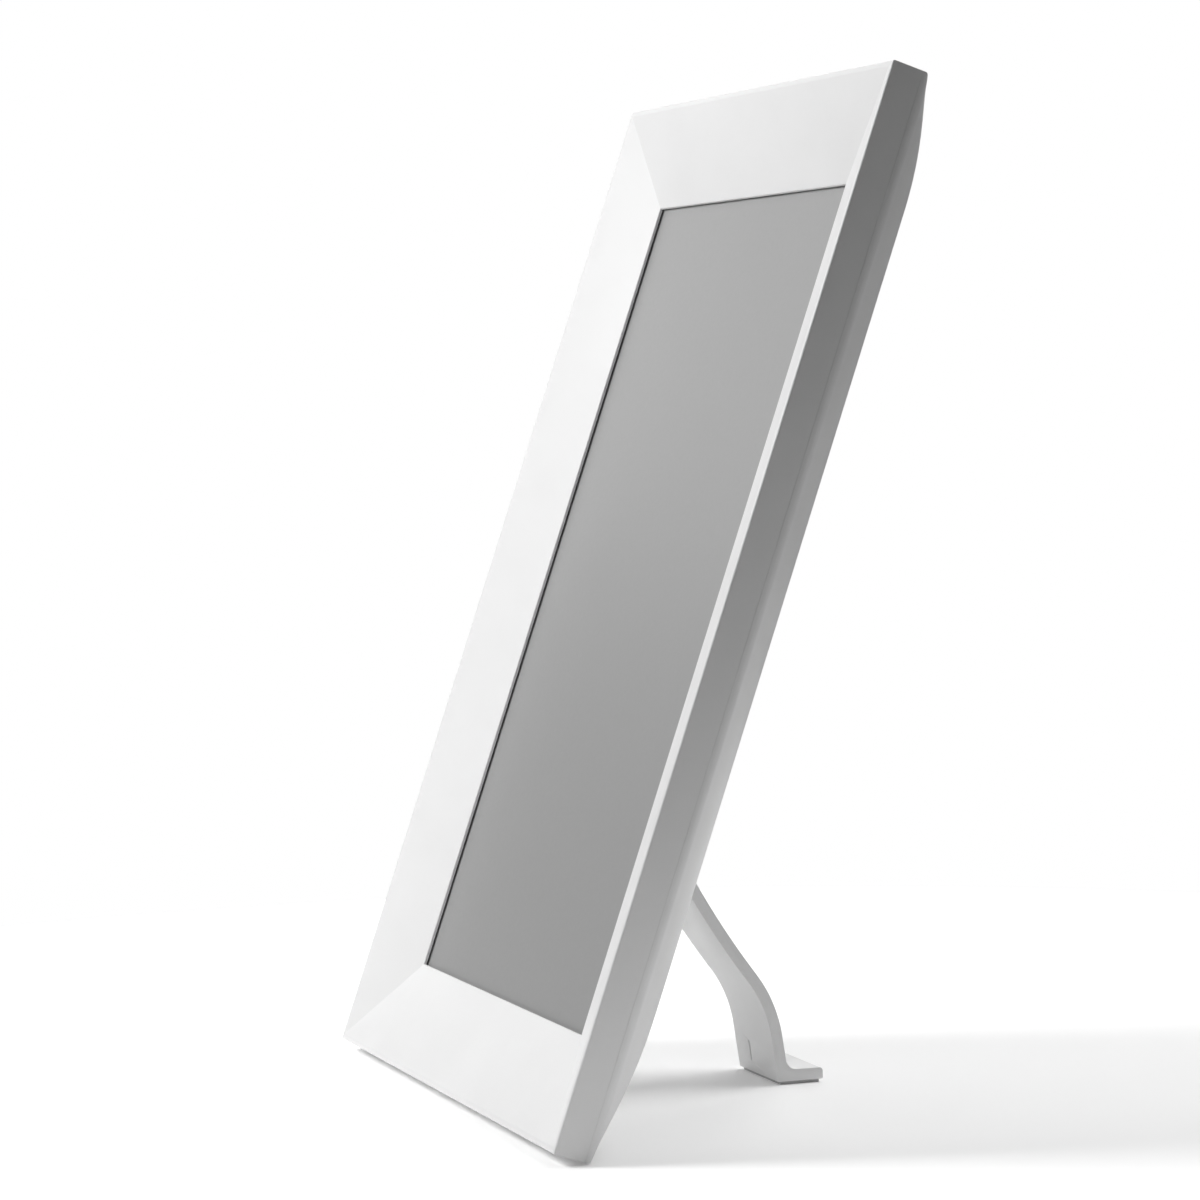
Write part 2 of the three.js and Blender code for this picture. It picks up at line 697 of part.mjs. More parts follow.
// A pan-head screw entering from behind: the head's underside at seat, the tip at y = tip.
function screw([x, z], seat, tip, shank, head, headDepth) {
  const body = turned(x, z, [
    [0, tip],
    [shank * 0.5, tip],
    [shank, tip + shank],
    [shank, seat],
    [head, seat],
    [head, seat + headDepth * 0.6],
    [head * 0.7, seat + headDepth],
    [0, seat + headDepth],
  ]);
  const recess = headDepth * 0.55;
  const arm = head * 0.55;
  const blade = head * 0.13;
  const cross = block(x - arm, x + arm, seat + headDepth - recess, seat + 9, z - blade, z + blade)
    .add(block(x - blade, x + blade, seat + headDepth - recess, seat + 9, z - arm, z + arm));
  return body.subtract(cross);
}

COVER_SCREWS.forEach((place, index) => {
  const shape = screw(place, HEAD_SEAT + GAP, 6.3, 1.3, 2.9, 1.8);
  add(housing, `cover_screw_${index + 1}`, shape, steel);
});
BOARD_SCREWS.forEach((place, index) => {
  const shape = screw(place, boardBack + GAP, boardFront - 1, 0.95, 2.2, 1.2);
  add(housing, `board_screw_${index + 1}`, shape, steel);
});
BRACKET_SCREWS.forEach((place, index) => {
  const shape = screw(place, PLATE.y1 + GAP, POCKET.floor - 1, 1, 2.4, 1.3);
  add(housing, `bracket_screw_${index + 1}`, shape, steel);
});

// ---------- leg ----------

// The leg's side outline: up the near side, round the barrel, down the far side and along the foot.
function legOutline() {
  const front = legSide(-LEG_HALF);
  const back = legSide(LEG_HALF);
  const heelBottom = FOOT_TOP + FOOT_FILLET;
  const above = (points, height) => points.filter(([, z]) => z > height);
  const slope = Math.cos(SHIN_ANGLE) / Math.sin(SHIN_ANGLE);
  const frontAt = (z) => LEG_TOE - z * slope;
  const backAt = (z) => frontAt(z) + (2 * LEG_HALF) / Math.sin(SHIN_ANGLE);
  const fillet = [1, 2, 3, 4].map((step) => {
    const turn = (step / 5) * (Math.PI / 2);
    return [
      backAt(heelBottom) + FOOT_FILLET * (1 - Math.cos(turn)),
      heelBottom - FOOT_FILLET * Math.sin(turn),
    ];
  });
  const footBack = LEG_TOE + FOOT_LENGTH;
  const underside = SOLE_DEPTH + GAP;
  const tip = [3, 2, 1, 0].map((step) => {
    const turn = (step / 3) * (Math.PI / 2);
    return [
      footBack - TIP_ROUND + TIP_ROUND * Math.cos(turn),
      FOOT_TOP - TIP_ROUND + TIP_ROUND * Math.sin(turn),
    ];
  });
  return [
    [frontAt(underside), underside],
    ...above(front, SOLE_DEPTH + 1),
    ...above(back, heelBottom + 0.5).reverse(),
    [backAt(heelBottom), heelBottom],
    ...fillet,
    [backAt(heelBottom) + FOOT_FILLET, FOOT_TOP],
    ...tip,
    [footBack, underside + 0.3],
    [footBack - 0.3, underside],
  ];
}

const SLIT = { x: -4, z0: 3.9, z1: 9.4, half: 0.25, depth: 0.8 };

function standLeg() {
  const half = LEG_WIDTH / 2;
  const strip = across(legOutline(), -half, half);
  const barrel = crossRod(hip.y, hip.z, BARREL_RADIUS, LEG_WIDTH);
  // The stop heel reaches past the hinge and meets the pocket's floor when the leg is open.
  const reach = 4.4;
  const heel = new THREE.BoxGeometry(20, reach, 2.6).translate(0, -reach / 2, 0);
  heel.rotateX(-hip.angle).translate(0, hip.y, hip.z);
  const slitFace = LEG_TOE - ((SLIT.z0 + SLIT.z1) / 2) / Math.tan(SHIN_ANGLE);
  const slit = new THREE.BoxGeometry(2 * SLIT.half, 2 * SLIT.depth, SLIT.z1 - SLIT.z0);
  slit.rotateX(Math.PI / 2 - SHIN_ANGLE).translate(SLIT.x, slitFace, (SLIT.z0 + SLIT.z1) / 2);
  return strip
    .add(barrel)
    .add(solid(heel))
    .subtract(crossRod(hip.y, hip.z, PIN_RADIUS + GAP, LEG_WIDTH * 2))
    .subtract(solid(slit));
}

function footSole() {
  const half = LEG_WIDTH / 2 - SOLE_INSET;
  return block(-half, half, LEG_TOE + 0.6, LEG_TOE + FOOT_LENGTH - SOLE_INSET, 0, SOLE_DEPTH);
}

add(standing, "stand_leg", standLeg(), white);
add(standing, "foot_sole", footSole(), finish(0xb9b9b9, 0.8));
add(standing, "edge_strip_left", edgeStrip(-1, 0), finish(0x9a9a9a, 0.85));
add(standing, "edge_strip_right", edgeStrip(1, 0), finish(0x9a9a9a, 0.85));

// ---------- the whole frame, its footprint centred on the origin ----------

const group = new THREE.Group();
const frame = new THREE.Group();
frame.add(housing, standing);
group.add(frame);
group.updateMatrixWorld(true);
const extent = new THREE.Box3().setFromObject(frame, true);
frame.position.set(0, -(extent.min.y + extent.max.y) / 2, 0);

export default group;
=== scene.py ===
"""A white digital photo frame on its curved back leg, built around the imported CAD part.

Pieces are modelled in millimetres, either in the housing's own upright frame (x across, y from the front rim
towards the back, z up from the bottom edge) or in the standing frame, and then placed in metres.
"""

import json
import math

import bmesh
import bpy
from mathutils import Matrix, Vector


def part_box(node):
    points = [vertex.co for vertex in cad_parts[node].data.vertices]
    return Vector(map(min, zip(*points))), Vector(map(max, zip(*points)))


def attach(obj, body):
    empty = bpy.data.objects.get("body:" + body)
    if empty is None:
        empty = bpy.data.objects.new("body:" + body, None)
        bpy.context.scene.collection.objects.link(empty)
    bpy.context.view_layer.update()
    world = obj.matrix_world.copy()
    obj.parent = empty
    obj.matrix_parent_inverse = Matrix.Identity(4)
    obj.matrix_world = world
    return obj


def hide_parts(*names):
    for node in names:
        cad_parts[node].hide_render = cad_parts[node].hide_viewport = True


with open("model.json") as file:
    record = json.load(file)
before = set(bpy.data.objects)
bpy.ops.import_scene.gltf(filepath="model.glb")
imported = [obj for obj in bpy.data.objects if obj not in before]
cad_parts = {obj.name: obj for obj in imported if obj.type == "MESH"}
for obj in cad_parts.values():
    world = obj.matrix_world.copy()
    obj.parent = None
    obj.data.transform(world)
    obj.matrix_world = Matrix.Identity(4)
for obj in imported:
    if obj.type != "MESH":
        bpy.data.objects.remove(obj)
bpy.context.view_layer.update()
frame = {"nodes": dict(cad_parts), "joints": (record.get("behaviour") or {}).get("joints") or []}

# ---------- sizes, in millimetres ----------

MM = 0.001
JOINTS = {joint["name"]: joint for joint in frame["joints"]}
PRESS = Vector(JOINTS["menu_press"]["axis"])
LEAN = math.atan2(PRESS.z, -PRESS.y)
COS, SIN = math.cos(LEAN), math.sin(LEAN)

bezel_low, bezel_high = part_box("front_bezel")
WIDTH = (bezel_high.x - bezel_low.x) / MM
HEIGHT = 271.0
BORDER = 27.2
SCOOP_DEPTH = 7.7
SIDE_DEPTH = 9.6
TOTAL_DEPTH = 22.0
WALL = 1.8
RIM = 1.6
RIM_ROUND = 0.6
RIM_BEND = 0.8
CAD_RIM_ROUND = 0.35
LIP = 0.8
LIP_ROUND = 0.3
LIP_LEDGE = 2.4
GLASS_FRONT = 9.0
GLASS_HALF = (71.0, 111.3)

# The runs are how far in from each edge the back has risen to its full depth.
SIDE_RUN = 26.0
TOP_RUN = 43.6
BOTTOM_RUN = 55.4
HIP_SHARPNESS = 6
COVER_WALL = 2.2
COVER_FRONT = 8.2
CREASE = 9.9
CREASE_ROUND = 1.1
PARTING = 0.04
LAND = 0.4
STRIP_TOP = 0.7

# The housing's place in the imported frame, found from the rim's lowest front corner.
SHIFT = bezel_low.y / MM + SIDE_DEPTH * COS - CAD_RIM_ROUND * SIN
HOUSING = (
    Matrix.Scale(MM, 4)
    @ Matrix.Translation((0, SHIFT - SIDE_DEPTH * COS, SIDE_DEPTH * SIN))
    @ Matrix.Rotation(-LEAN, 4, "X")
)
STANDING = Matrix.Scale(MM, 4) @ Matrix.Translation((0, SHIFT, 0))

LEG_WIDTH = 28.5
LEG_HALF = 1.5
LEG_TOE = 78.6
SHIN_ANGLE = math.radians(82)
SHIN_LENGTH = 13.0
KNEE_RADIUS = 34.0
THIGH_ANGLE = math.radians(53.5)
THIGH_RADIUS = 230.0
THIGH_LENGTH = 65.2
FOOT_LENGTH = 12.2
FOOT_TOP = 3.9
FOOT_FILLET = 3.0
TIP_ROUND = 0.9
SOLE_DEPTH = 0.9
SOLE_INSET = 0.8
SLIT_LOW, SLIT_HIGH = 3.9, 9.4
SLIT_X = -4.0
SLIT_HALF_WIDTH = 0.35
SLIT_DEPTH = 1.1
PIN_RADIUS = 1.2
BARREL_RADIUS = 3.2
EAR_INNER = LEG_WIDTH / 2 + 0.95
EAR_OUTER = EAR_INNER + 2
FOLD = math.radians(JOINTS["leg_fold"]["range_deg"][1])

HIP = STANDING.inverted() @ Vector(JOINTS["leg_fold"]["pos_m"])
HIP_HOUSING = HOUSING.inverted() @ Vector(JOINTS["leg_fold"]["pos_m"])

BUTTON_X = 50.0
BUTTON_PITCH = 13.0
BUTTONS = ("menu", "up", "down", "enter", "exit")
BUTTON_TOP = TOTAL_DEPTH + 0.8
FLANGE_BACK = TOTAL_DEPTH - COVER_WALL - 0.3
SLIDER_Z = 134.0
SLIDER_TOP = TOTAL_DEPTH + 0.6
SLIDER_TRAVEL = JOINTS["power_slide"]["range_m"][1] / MM
SPEAKERS = ((-46.0, 78.0), (46.0, 78.0))
KEYHOLES = ((-44.0, 214.0), (44.0, 214.0))
COVER_SCREWS = ((-55.0, 14.0), (55.0, 14.0), (-55.0, HEIGHT - 14), (55.0, HEIGHT - 14))
HEAD_SEAT = 12.4
POST_FRONT = 10.9
BRACKET_SCREW_X = (-9.0, 9.0)
BRACKET_SCREW_RISE = 12.0


# ---------- mesh helpers ----------

def mesh_piece(name, points, faces):
    """A closed mesh from points and faces, its normals facing out."""
    mesh = bpy.data.meshes.new(name)
    mesh.from_pydata([tuple(point) for point in points], [], faces)
    shape = bmesh.new()
    shape.from_mesh(mesh)
    bmesh.ops.remove_doubles(shape, verts=shape.verts, dist=1e-5)
    bmesh.ops.dissolve_degenerate(shape, edges=shape.edges, dist=1e-6)
    bmesh.ops.recalc_face_normals(shape, faces=shape.faces)
    shape.to_mesh(mesh)
    shape.free()
    piece = bpy.data.objects.new(name, mesh)
    bpy.context.scene.collection.objects.link(piece)
    return piece


def between_rings(rings, closed_ends=True):
    """Faces that join equal rings of points in order; the ends are closed by one face each."""
    count = len(rings[0])
    points = [point for ring in rings for point in ring]
    faces = []
    for r in range(len(rings) - 1):
        for i in range(count):
            j = (i + 1) % count
            faces.append((r * count + i, r * count + j, (r + 1) * count + j, (r + 1) * count + i))
    if closed_ends:
        faces.append(tuple(range(count)))
        faces.append(tuple((len(rings) - 1) * count + i for i in range(count)))
    return points, faces


def rounded_outline(x, z, half_x, half_z, radius, steps=8):
    """A rounded rectangle about (x, z): a circle or a stadium when the radius fills it."""
    outline = []
    for quarter, (sx, sz) in enumerate(((1, 1), (-1, 1), (-1, -1), (1, -1))):
        for step in range(steps + 1):
            turn = math.pi / 2 * (quarter + step / steps)
            outline.append((
                x + sx * (half_x - radius) + radius * math.cos(turn),
                z + sz * (half_z - radius) + radius * math.sin(turn),
            ))
    return outline


def grown(outline, centre, amount):
    """The outline moved outwards from its centre by about amount."""
    moved = []
    for x, z in outline:
        away = Vector((x - centre[0], z - centre[1]))
        away = away.normalized() * amount if away.length else away
        moved.append((x + away.x, z + away.y))
    return moved


def plate(name, outline, layers):
    """A piece built up from back-to-front layers of one outline: (depth, outward growth) each."""
    centre = (
        sum(point[0] for point in outline) / len(outline),
        sum(point[1] for point in outline) / len(outline),
    )
    rings = [[(x, depth, z) for x, z in grown(outline, centre, grow)] for depth, grow in layers]
    return mesh_piece(name, *between_rings(rings))


def block(name, x0, x1, y0, y1, z0, z1):
    """A box from its limits, used to cut and to build other pieces."""
    corners = [(x0, z0), (x1, z0), (x1, z1), (x0, z1)]
    rings = [[(x, y, z) for x, z in corners] for y in (y0, y1)]
    return mesh_piece(name, *between_rings(rings))


def turned(name, x, z, profile, sides=48):
    """A turned piece whose axis runs front to back, from (radius, depth) points."""
    rings = []
    for radius, depth in profile:
        rings.append([
            (
                x + radius * math.cos(2 * math.pi * i / sides),
                depth,
                z + radius * math.sin(2 * math.pi * i / sides),
            )
            for i in range(sides)
        ])
    return mesh_piece(name, *between_rings(rings))


def cross_rod(name, y, z, profile, sides=48):
    """A turned piece whose axis runs across the object, from (radius, x) points."""
    rings = []
    for radius, x in profile:
        rings.append([
            (
                x,
                y + radius * math.cos(2 * math.pi * i / sides),
                z + radius * math.sin(2 * math.pi * i / sides),
            )
            for i in range(sides)
        ])
    return mesh_piece(name, *between_rings(rings))


def across(name, outline, half):
    """An outline of (y, z) points pulled out across x, to both sides."""
    rings = [[(x, y, z) for y, z in outline] for x in (-half, half)]
    return mesh_piece(name, *between_rings(rings))


def combine(piece, operation, tool):
    """Joins, cuts or intersects piece with tool, and removes the tool."""
    step = piece.modifiers.new("combine", "BOOLEAN")
    step.operation = operation
    step.solver = "EXACT"
    step.object = tool
    bpy.context.view_layer.update()
    made = bpy.data.meshes.new_from_object(piece.evaluated_get(bpy.context.evaluated_depsgraph_get()))
    piece.modifiers.clear()
    old = piece.data
    piece.data = made
    bpy.data.meshes.remove(old)
    bpy.data.objects.remove(tool)
    return piece


def joined(name, pieces):
    """Separate shells as one object."""
    points, faces = [], []
    for piece in pieces:
        base = len(points)
        points += [vertex.co.copy() for vertex in piece.data.vertices]
        faces += [tuple(base + index for index in face.vertices) for face in piece.data.polygons]
        bpy.data.objects.remove(piece)
    return mesh_piece(name, points, faces)


def soften(piece, width, segments=2, angle=32):
    """Rounds the piece's edges a little, by width in the piece's own units."""
    step = piece.modifiers.new("soft_edges", "BEVEL")
    step.width = width
    step.segments = segments
    step.limit_method = "ANGLE"
    step.angle_limit = math.radians(angle)
    step.use_clamp_overlap = True
    step.harden_normals = True
    return piece


def settle(piece, place, sharp=28):
    """Applies the modifiers, moves the piece to its place and shades it smooth between sharp edges."""
    bpy.context.view_layer.update()
    made = bpy.data.meshes.new_from_object(piece.evaluated_get(bpy.context.evaluated_depsgraph_get()))
    piece.modifiers.clear()
    piece.data = made
    made.transform(place)
    made.shade_smooth()
    made.set_sharp_from_angle(angle=math.radians(sharp))
    return piece


def dress(piece, body, slot, material, *nodes):
    """Gives a piece its material, its body and the CAD nodes that it stands for; the slot argument is not
    used.
    """
    piece.data.materials.clear()
    piece.data.materials.append(material)
    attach(piece, body)
    if nodes:
        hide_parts(*nodes)
    return piece


# ---------- materials ----------

class Nodes:
    """A short way to add and join shader nodes."""

    def __init__(self, name):
        self.material = bpy.data.materials.new(name)
        self.material.use_nodes = True
        self.tree = self.material.node_tree
        self.shader = self.tree.nodes["Principled BSDF"]
        self.place = self.tree.nodes.new("ShaderNodeTexCoord").outputs["Object"]

    def add(self, kind, inputs=(), **settings):
        node = self.tree.nodes.new(kind)
        for key, value in settings.items():
            setattr(node, key, value)
        for key, value in dict(inputs).items():
            if isinstance(value, bpy.types.NodeSocket):
                self.tree.links.new(value, node.inputs[key])
            else:
                node.inputs[key].default_value = value
        return node

    def noise(self, scale, detail=3.0, roughness=0.55):
        inputs = {"Vector": self.place, "Scale": scale, "Detail": detail, "Roughness": roughness}
        return self.add("ShaderNodeTexNoise", inputs).outputs["Fac"]

    def spread(self, value, low, high):
        """A noise value stretched from its middle range to low and high."""
        inputs = {"Value": value, "From Min": 0.3, "From Max": 0.7, "To Min": low, "To Max": high}
        return self.add("ShaderNodeMapRange", inputs).outputs["Result"]

    def shade(self, colour, amount, scale):
        """The colour, a little lighter and darker in soft patches."""
        value = self.spread(self.noise(scale), 1 - amount, 1 + amount)
        inputs = {"Color": (*colour, 1), "Value": value}
        return self.add("ShaderNodeHueSaturation", inputs).outputs["Color"]

    def bump(self, height, strength, distance, normal=None):
        inputs = {"Height": height, "Strength": strength, "Distance": distance}
        if normal is not None:
            inputs["Normal"] = normal
        return self.add("ShaderNodeBump", inputs).outputs["Normal"]

    def into(self, **sockets):
        for key, value in sockets.items():
            socket = self.shader.inputs[key.replace("_", " ")]
            if isinstance(value, bpy.types.NodeSocket):
                self.tree.links.new(value, socket)
            else:
                socket.default_value = value
        return self.material


def moulded_plastic(name, colour, roughness, grain=2600.0, grain_height=0.000012, mottle=0.02):
    """Satin moulded plastic: a fine spark-eroded grain, faint flow marks and slightly uneven gloss."""
    n = Nodes(name)
    fine = n.bump(n.noise(grain, 2.0), 0.35, grain_height)
    wavy = n.bump(n.noise(38.0, 1.0), 0.12, 0.00008, fine)
    return n.into(
        Base_Color=n.shade(colour, mottle, 16.0),
        Roughness=n.spread(n.noise(120.0), roughness - 0.05, roughness + 0.06),
        Normal=wavy,
    )


def rubber(name, colour):
    """Dull rubber with a slightly uneven, pitted surface."""
    n = Nodes(name)
    return n.into(
        Base_Color=n.shade(colour, 0.08, 90.0),
        Roughness=n.spread(n.noise(700.0), 0.72, 0.9),
        Normal=n.bump(n.noise(1800.0), 0.5, 0.00004),
    )


def anti_glare_screen(name, colour):
    """The dark-state panel under its matte film: an even grey with a very fine sparkle."""
    n = Nodes(name)
    return n.into(
        Base_Color=n.shade(colour, 0.012, 7.0),
        Roughness=n.spread(n.noise(900.0), 0.30, 0.36),
        Normal=n.bump(n.noise(5200.0, 1.0), 0.25, 0.000006),
    )


def brushed_metal(name, colour, roughness=0.32):
    """Sheet metal with fine lines that run across the object."""
    n = Nodes(name)
    stretched = n.add("ShaderNodeMapping", {"Vector": n.place, "Scale": (60.0, 1800.0, 1800.0)})
    lines = n.add("ShaderNodeTexNoise", {"Vector": stretched.outputs["Vector"], "Scale": 1.0, "Detail": 4.0})
    streaks = lines.outputs["Fac"]
    return n.into(
        Base_Color=n.shade(colour, 0.06, 140.0),
        Metallic=1.0,
        Roughness=n.spread(streaks, roughness - 0.08, roughness + 0.1),
        Normal=n.bump(streaks, 0.15, 0.00001),
    )


def circuit_board(name, colour):
    """Solder mask over copper: straight traces show as slightly lighter, raised lines."""
    n = Nodes(name)
    upright = n.add("ShaderNodeMapping", {"Vector": n.place, "Rotation": (math.pi / 2, 0, 0)})
    bricks = n.add(
        "ShaderNodeTexBrick",
        {
            "Vector": upright.outputs["Vector"],
            "Color1": (0, 0, 0, 1), "Color2": (0.25, 0.25, 0.25, 1), "Mortar": (1, 1, 1, 1),
            "Scale": 260.0, "Mortar Size": 0.035, "Brick Width": 1.7, "Row Height": 0.4,
        },
    )
    traces = bricks.outputs["Color"]
    trace_height = n.add("ShaderNodeRGBToBW", {"Color": traces}).outputs["Val"]
    mixed = n.add(
        "ShaderNodeMixRGB",
        {
            "Fac": n.spread(trace_height, 0.0, 0.6),
            "Color1": n.shade(colour, 0.1, 60.0),
            "Color2": (colour[0] * 2.2, colour[1] * 1.7, colour[2] * 2.0, 1),
        },
    )
    return n.into(
        Base_Color=mixed.outputs["Color"],
        Roughness=n.spread(n.noise(400.0), 0.3, 0.42),
        Normal=n.bump(traces, 0.3, 0.00003),
    )


def clear_sheet(name, colour):
    """The pale, glossy face of an acrylic sheet with a backing behind it."""
    n = Nodes(name)
    return n.into(
        Base_Color=n.shade(colour, 0.02, 30.0),
        Roughness=n.spread(n.noise(200.0), 0.08, 0.16),
        Normal=n.bump(n.noise(60.0), 0.05, 0.00002),
    )


def flat_ribbon(name, colour, stripe):
    """A flat cable: thin conductors run along it."""
    n = Nodes(name)
    waves = n.add(
        "ShaderNodeTexWave",
        {"Vector": n.place, "Scale": 160.0, "Distortion": 0.0},
        bands_direction="X",
    )
    mixed = n.add(
        "ShaderNodeMixRGB",
        {"Fac": n.spread(waves.outputs["Fac"], 0.0, 0.8), "Color1": (*colour, 1), "Color2": (*stripe, 1)},
    )
    return n.into(
        Base_Color=mixed.outputs["Color"],
        Roughness=n.spread(n.noise(300.0), 0.35, 0.5),
        Normal=n.bump(waves.outputs["Fac"], 0.3, 0.00004),
    )


WHITE = moulded_plastic("white_moulding", (0.80, 0.80, 0.80), 0.42)
KEY_WHITE = moulded_plastic("key_moulding", (0.74, 0.74, 0.75), 0.38, grain=3400.0)
BLACK = moulded_plastic("black_moulding", (0.022, 0.022, 0.024), 0.5)
SCREEN = anti_glare_screen("screen_film", (0.33, 0.33, 0.33))
GREY_RUBBER = rubber("grey_rubber", (0.42, 0.42, 0.42))
SOLE_RUBBER = rubber("sole_rubber", (0.5, 0.5, 0.5))
FOAM = rubber("dark_foam", (0.09, 0.09, 0.09))
STEEL = brushed_metal("plated_steel", (0.58, 0.59, 0.6))
TIN = brushed_metal("tinned_can", (0.66, 0.66, 0.65), 0.24)
BOARD = circuit_board("green_board", (0.02, 0.14, 0.06))
ACRYLIC = clear_sheet("acrylic_guide", (0.78, 0.83, 0.84))
LAMP_BOARD = moulded_plastic("lamp_board", (0.8, 0.77, 0.58), 0.5)
COPPER_RIBBON = flat_ribbon("copper_ribbon", (0.5, 0.22, 0.07), (0.62, 0.32, 0.12))
WHITE_RIBBON = flat_ribbon("white_ribbon", (0.7, 0.7, 0.67), (0.5, 0.5, 0.5))


# ---------- camera, light and floor ----------

def camera():
    """A long lens from the frame's right front, a little above it, rolled by a degree and a half."""
    azimuth, elevation, roll = math.radians(71.53), math.radians(3.151), math.radians(-1.484)
    distance = 1.0834
    aim = Vector((-0.0012, SHIFT * MM + 0.0383, 0.1270))
    look = Vector((
        -math.sin(azimuth) * math.cos(elevation),
        math.cos(azimuth) * math.cos(elevation),
        -math.sin(elevation),
    ))
    level = Vector((math.cos(azimuth), math.sin(azimuth), 0))
    upright = level.cross(look)
    right = level * math.cos(roll) + upright * math.sin(roll)
    up = upright * math.cos(roll) - level * math.sin(roll)
    data = bpy.data.cameras.new("view")
    data.sensor_width = 36.0
    data.lens = 126.08
    data.clip_start = 0.05
    data.clip_end = 50.0
    eye = bpy.data.objects.new("view", data)
    turn = Matrix((right, up, -look)).transposed().to_4x4()
    eye.matrix_world = Matrix.Translation(aim - look * distance) @ turn
    bpy.context.scene.collection.objects.link(eye)
    bpy.context.scene.camera = eye


def softbox(name, place, aim, size, power):
    """A square area light in metres and watts, turned towards its aim."""
    data = bpy.data.lights.new(name, "AREA")
    data.shape = "RECTANGLE"
    data.size, data.size_y = size
    data.energy = power
    light = bpy.data.objects.new(name, data)
    light.location = place
    light.rotation_mode = "QUATERNION"
    light.rotation_quaternion = (Vector(aim) - Vector(place)).to_track_quat("-Z", "Y")
    bpy.context.scene.collection.objects.link(light)


def floor():
    """A round white table top with rounded edges, just wide enough to fill the view behind the object."""
    radius, thickness, edge, sides = 0.42, 0.02, 0.006, 96
    rings = []
    for reach, height in (
        (radius - edge, -thickness), (radius, edge - thickness), (radius, -edge), (radius - edge, 0),
    ):
        rings.append([
            (reach * math.cos(2 * math.pi * i / sides), reach * math.sin(2 * math.pi * i / sides), height)
            for i in range(sides)
        ])
    ground = mesh_piece("floor", *between_rings(rings))
    n = Nodes("pale_floor")
    ground.data.materials.append(n.into(
        Base_Color=n.shade((0.95, 0.95, 0.95), 0.004, 3.0),
        Roughness=n.spread(n.noise(30.0), 0.7, 0.8),
        Specular_IOR_Level=0.2,
        Emission_Color=(1, 1, 1, 1),
        Emission_Strength=0.1,
    ))


def surroundings():
    """A white backdrop that is only looked at: the softboxes give all the light."""
    world = bpy.data.worlds.new("studio")
    world.use_nodes = True
    tree = world.node_tree
    tree.nodes.clear()
    unlit = tree.nodes.new("ShaderNodeBackground")
    unlit.inputs["Strength"].default_value = 0.0
    seen = tree.nodes.new("ShaderNodeBackground")
    seen.inputs["Strength"].default_value = 1.0
    for node in (unlit, seen):
        node.inputs["Color"].default_value = (1, 1, 1, 1)
    path = tree.nodes.new("ShaderNodeLightPath")
    mix = tree.nodes.new("ShaderNodeMixShader")
    out = tree.nodes.new("ShaderNodeOutputWorld")
    tree.links.new(path.outputs["Is Camera Ray"], mix.inputs["Fac"])
    tree.links.new(unlit.outputs[0], mix.inputs[1])
    tree.links.new(seen.outputs[0], mix.inputs[2])
    tree.links.new(mix.outputs[0], out.inputs["Surface"])
    bpy.context.scene.world = world
    bpy.context.scene.view_settings.view_transform = "Standard"


camera()
floor()
surroundings()
softbox("front_softbox", (-0.3, -0.7, 0.65), (0, 0, 0.22), (0.35, 0.35), 7.8)
softbox("top_softbox", (0, 0.1, 1.35), (0, 0.05, 0), (1.3, 1.3), 4.3)
softbox("rear_top_softbox", (0, 0.6, 1.2), (0, 0.05, 0), (0.9, 0.9), 9.2)
softbox("rear_left_softbox", (-1.0, 0.7, 0.6), (0, 0.05, 0.05), (0.7, 0.7), 4.0)
softbox("left_softbox", (-1.3, -0.4, 0.75), (0, 0, 0.12), (0.8, 0.8), 1.7)


# ---------- front ----------

def mitred_rings(profile):
    """Rings of four mitred corners, one for each (inset, depth) of the profile."""
    rings = []
    for inset, depth in profile:
        x, low, high = WIDTH / 2 - inset, inset, HEIGHT - inset
        rings.append([(-x, depth, low), (x, depth, low), (x, depth, high), (-x, depth, high)])
    return rings


def arc(centre, radius, start, end, steps):
    """Points on an arc in the (inset, depth) plane, angles in degrees."""
    made = []
    for i in range(steps + 1):
        turn = math.radians(start + (end - start) * i / steps)
        made.append((centre[0] + radius * math.cos(turn), centre[1] + radius * math.sin(turn)))
    return made


def table_cutter():
    """Everything lower than the land on which the housing's edge ends, in the housing's frame."""
    wide = WIDTH
    cutter = block("table_cut", -wide, wide, -wide, wide, -wide, LAND)
    cutter.data.transform(HOUSING.inverted() @ STANDING)
    return cutter


def strip_shape(side, gap=0.0):
    """An edge strip, or the pocket round it: flat below, and level with the lean of the housing above."""
    low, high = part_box(f"edge_strip_{side}")
    low, high = STANDING.inverted() @ low, STANDING.inverted() @ high
    near, far, bottom = low.y - gap, high.y + gap, -5 * gap

    def top_at(y):
        return STRIP_TOP / COS - y * math.tan(LEAN) + gap

    outline = [(near, bottom), (far, bottom), (far, top_at(far)), (near, top_at(near))]
    piece = across(f"strip_{side}", outline, (high.x - low.x) / 2 + gap)
    piece.data.transform(Matrix.Translation(((high.x + low.x) / 2, 0, 0)))
    return piece


